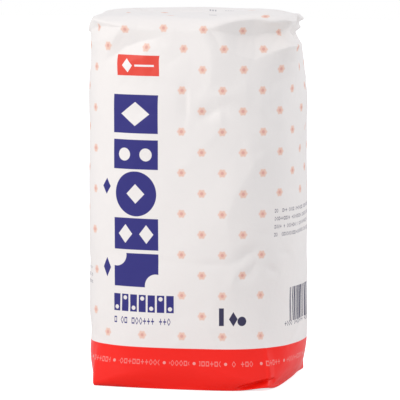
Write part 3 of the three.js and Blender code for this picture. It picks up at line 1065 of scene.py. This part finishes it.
def small_blocks(ink, w, v):
    """A row of plain notched blocks below the tiles."""
    along_row = ink.mul(ink.sub(w, BLOCKS[0]), 1 / BLOCK_STEP)
    number = ink.math("FLOOR", along_row)
    local = ink.mul(ink.sub(along_row, number), BLOCK_STEP)
    odd = ink.math("PINGPONG", number, 1.0)
    block = ink.inside(ink.sub(ink.away(local, BLOCK_HALF), BLOCK_HALF))
    notch = ink.disc(local, v, BLOCK_HALF, ink.mul_add(odd, NOTCH_RISE, NOTCH_LOW), NOTCH_RADIUS)
    return ink.both(ink.without(block, notch), ink.box(w, v, *BLOCKS))


def amount_marks(ink, w, v):
    """A tall bar with two plain shapes, at the lower right of a broad panel."""
    bar = ink.box(w, v, *AMOUNT_BAR)
    return ink.either(bar, ink.diamond(w, v, *AMOUNT_DIAMOND), ink.disc(w, v, *AMOUNT_DISC))


def barcode(ink, u, v):
    """Upright bars of random widths, which stand for no number."""
    bars = ink.above(ink.chance(u, BAR_WIDTH, BAR_SEED), BAR_GAP_SHARE)
    return ink.both(bars, ink.box(u, v, *BARCODE, BARCODE_SOFT))


def small_print(ink, u, v):
    """Dark small print of the side panels and the stamps on the top, as plain marks and strokes."""
    lines = [ink.line_of_marks(u, v, *line) for line in SMALL_PRINT]
    slanted = ink.mul_add(v, STAMP_SLANT, ink.sub(u, STAMP_SLANT * STAMP_FOOT))
    places = [ink.mul(ink.box(slanted, v, *place), strength) for *place, strength in STAMPS]
    *bar_place, bar_strength = STAMP_BAR
    bar = ink.mul(ink.box(slanted, v, *bar_place), bar_strength)
    strokes = ink.above(ink.math("WRAP", slanted, STAMP_PITCH, 0.0), STAMP_GAP)
    return ink.either(*lines, ink.both(strokes, ink.either(*places)), bar)


def band_marks(ink, u, v):
    """A line of pale marks round the red band, in groups parted by beads."""
    repeat = ink.math("WRAP", u, BAND_START + BAND_PERIOD, BAND_START)
    beads = [ink.disc(repeat, v, x, BEAD_HEIGHT, BEAD_RADIUS, BEAD_BLUR) for x in BEADS]
    gaps = [ink.inside(ink.sub(ink.away(repeat, x), BEAD_GAP), BEAD_GAP_SOFT) for x in BEADS]
    words = ink.mul(ink.line_of_marks(u, v, *BAND_WORDS), BAND_WORDS_STRENGTH)
    return ink.either(*beads, ink.without(words, ink.either(*gaps)))


def printed_colour(ink, u, v, cloud):
    """Colour of the paper with all its print, and the mask of its red band."""
    on_back_right = ink.above(u, PANEL_EDGE)
    on_back_left = ink.below(u, -PANEL_EDGE)
    w = ink.sub(u, ink.mul(ink.sub(on_back_right, on_back_left), PANEL_CENTRE))
    colour = ink.lay((*PAPER_COLOUR, 1.0), PAPER_SHADE, ink.mul(cloud, PAPER_SHADE_SHARE))
    rosette, heart = dots(ink, u, v, w)
    above_band = ink.inside(ink.sub(BAND_TOP + DOTS_ABOVE_BAND, v))
    colour = ink.lay(colour, DOT_COLOUR, ink.both(rosette, above_band))
    colour = ink.lay(colour, DOT_HEART_COLOUR, ink.both(heart, above_band))
    below_blocks = ink.line_of_marks(w, v, *LINE_BELOW_BLOCKS)
    navy = ink.either(tiles(ink, w, v), small_blocks(ink, w, v), below_blocks)
    colour = ink.lay(colour, NAVY, navy)
    colour = ink.lay(colour, DARK_INK, amount_marks(ink, w, v))
    colour = ink.lay(colour, DARK_INK, barcode(ink, u, v))
    colour = ink.lay(colour, GREY_INK, ink.mul(small_print(ink, u, v), SMALL_PRINT_STRENGTH))
    label = ink.box(w, v, *LABEL)
    emblem = ink.either(ink.diamond(w, v, *LABEL_DIAMOND), ink.box(w, v, *LABEL_BAR))
    colour = ink.lay(colour, LABEL_RED, label)
    colour = ink.lay(colour, LABEL_PALE, ink.both(label, emblem))
    band = ink.inside(ink.sub(v, BAND_TOP), BAND_SOFT)
    colour = ink.lay(colour, RED, band)
    return ink.lay(colour, BAND_PALE, ink.both(band, band_marks(ink, u, v))), band


def paper_material():
    material = bpy.data.materials.new("printed_paper")
    material.use_nodes = True
    ink = Print(material.node_tree)
    shader = material.node_tree.nodes["Principled BSDF"]
    paper_place = ink.node("ShaderNodeUVMap", uv_map="paper")
    split = ink.node("ShaderNodeSeparateXYZ")
    ink.put(paper_place.outputs["UV"], split.inputs[0])
    place = ink.node("ShaderNodeTexCoord").outputs["Object"]
    cloud = ink.noise(place, *CLOUD_NOISE)
    colour, band = printed_colour(ink, split.outputs["X"], split.outputs["Y"], cloud)
    ink.put(colour, shader.inputs["Base Color"])
    worn = ink.mul_add(cloud, ROUGHNESS_CHANGE, ROUGHNESS)
    ink.put(ink.mul_add(band, BAND_ROUGHNESS_CHANGE, worn), shader.inputs["Roughness"])
    shader.inputs["Specular IOR Level"].default_value = SPECULAR_LEVEL
    shader.inputs["IOR"].default_value = PAPER_IOR
    crumple = ink.bump(ink.noise(place, *CRUMPLE_NOISE), *CRUMPLE_BUMP)
    fibre = ink.bump(ink.noise(place, *FIBRE_NOISE), *FIBRE_BUMP)
    ink.put(crumple.outputs["Normal"], fibre.inputs["Normal"])
    ink.put(fibre.outputs["Normal"], shader.inputs["Normal"])
    return material


packet = make_packet()
packet.data.materials.append(paper_material())
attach(packet, "root")
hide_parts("packet")

# Camera, at the photograph's place: degrees, millimetres, and pixels of the photograph
CAMERA_AZIMUTH = 12.96
CAMERA_HEIGHT = 261.3
CAMERA_REACH = 1619.0
AIM_HEIGHT = 84.7143
AIM_SHIFT = 0.0952
FOCAL_PIXELS = 3420.2
IMAGE_PIXELS = 400
SENSOR_WIDTH = 36
FAR_CLIP = 20

# Lights, in metres and watts: name, place, aim, side, power, colour
LIGHTS = [
    ("key", (-0.37, -0.44, 0.392), (0, 0, 0.13), 0.26, 1.2, (1, 0.985, 0.965)),
    ("side", (0.82, 0.38, 0.62), (0, 0, 0.12), 0.6, 2.1, (0.97, 0.985, 1.0)),
]
WHITE = (1, 1, 1, 1)
WORLD_COLOUR = (0.93, 0.95, 1.0, 1)
WORLD_STRENGTH = 0.86
FLOOR_HALF = 3.0
FLOOR_LEVEL = -0.0002
FLOOR_COLOUR = (0.76, 0.76, 0.76, 1)
FLOOR_ROUGHNESS = 0.9
FLOOR_GLOW = 0.75


def make_camera():
    azimuth = math.radians(CAMERA_AZIMUTH)
    data = bpy.data.cameras.new("camera")
    data.sensor_width = SENSOR_WIDTH
    data.lens = FOCAL_PIXELS / IMAGE_PIXELS * SENSOR_WIDTH
    data.clip_end = FAR_CLIP
    camera = add_object("camera", data)
    bpy.context.scene.camera = camera
    rightward = np.array([math.cos(azimuth), math.sin(azimuth), 0])
    forward = np.array([-math.sin(azimuth), math.cos(azimuth), 0])
    drop = CAMERA_HEIGHT - AIM_HEIGHT
    aim = rightward * AIM_SHIFT + np.array([0, 0, AIM_HEIGHT])
    place = aim - forward * CAMERA_REACH + np.array([0, 0, drop])
    camera.location = (place * MM).tolist()
    camera.rotation_euler = (math.pi / 2 - math.atan2(drop, CAMERA_REACH), 0, azimuth)


def soft_light(name, location, target, side, power, colour):
    data = bpy.data.lights.new(name, "AREA")
    data.shape = "RECTANGLE"
    data.size = side
    data.size_y = side
    data.energy = power
    data.color = colour
    light = add_object(name, data)
    light.location = location
    light.visible_camera = False
    direction = np.subtract(target, location)
    yaw = math.atan2(direction[1], direction[0]) - math.pi / 2
    pitch = math.atan2(direction[2], math.hypot(direction[0], direction[1]))
    light.rotation_euler = (math.pi / 2 + pitch, 0, yaw)


def make_world():
    """Pale light from all round, with a plain white backdrop for the camera."""
    world = bpy.data.worlds.new("studio")
    bpy.context.scene.world = world
    world.use_nodes = True
    nodes = world.node_tree.nodes
    links = world.node_tree.links
    surround = nodes["Background"]
    set_inputs(surround, {"Color": WORLD_COLOUR, "Strength": WORLD_STRENGTH})
    backdrop = nodes.new("ShaderNodeBackground")
    set_inputs(backdrop, {"Color": WHITE, "Strength": 1.0})
    seen = nodes.new("ShaderNodeLightPath").outputs["Is Camera Ray"]
    choose = nodes.new("ShaderNodeMixShader")
    links.new(seen, choose.inputs["Fac"])
    links.new(surround.outputs["Background"], choose.inputs[1])
    links.new(backdrop.outputs["Background"], choose.inputs[2])
    links.new(choose.outputs["Shader"], nodes["World Output"].inputs["Surface"])


def make_floor():
    """A plain pale floor, which glows a little for the camera so that it meets the backdrop."""
    mesh = bpy.data.meshes.new("floor")
    corners = [(-1, -1), (1, -1), (1, 1), (-1, 1)]
    points = [(x * FLOOR_HALF, y * FLOOR_HALF, FLOOR_LEVEL) for x, y in corners]
    mesh.from_pydata(points, [], [(0, 1, 2, 3)])
    material = bpy.data.materials.new("floor")
    material.use_nodes = True
    nodes = material.node_tree.nodes
    links = material.node_tree.links
    shader = nodes["Principled BSDF"]
    set_inputs(shader, {"Base Color": FLOOR_COLOUR, "Roughness": FLOOR_ROUGHNESS})
    set_inputs(shader, {"Emission Color": WHITE})
    seen = nodes.new("ShaderNodeLightPath").outputs["Is Camera Ray"]
    glow = nodes.new("ShaderNodeMath")
    glow.operation = "MULTIPLY"
    glow.inputs[1].default_value = FLOOR_GLOW
    links.new(seen, glow.inputs[0])
    links.new(glow.outputs[0], shader.inputs["Emission Strength"])
    mesh.materials.append(material)
    return add_object("floor", mesh)


make_camera()
for light_values in LIGHTS:
    soft_light(*light_values)
make_world()
floor = make_floor()

bpy.context.scene.view_settings.view_transform = "Standard"
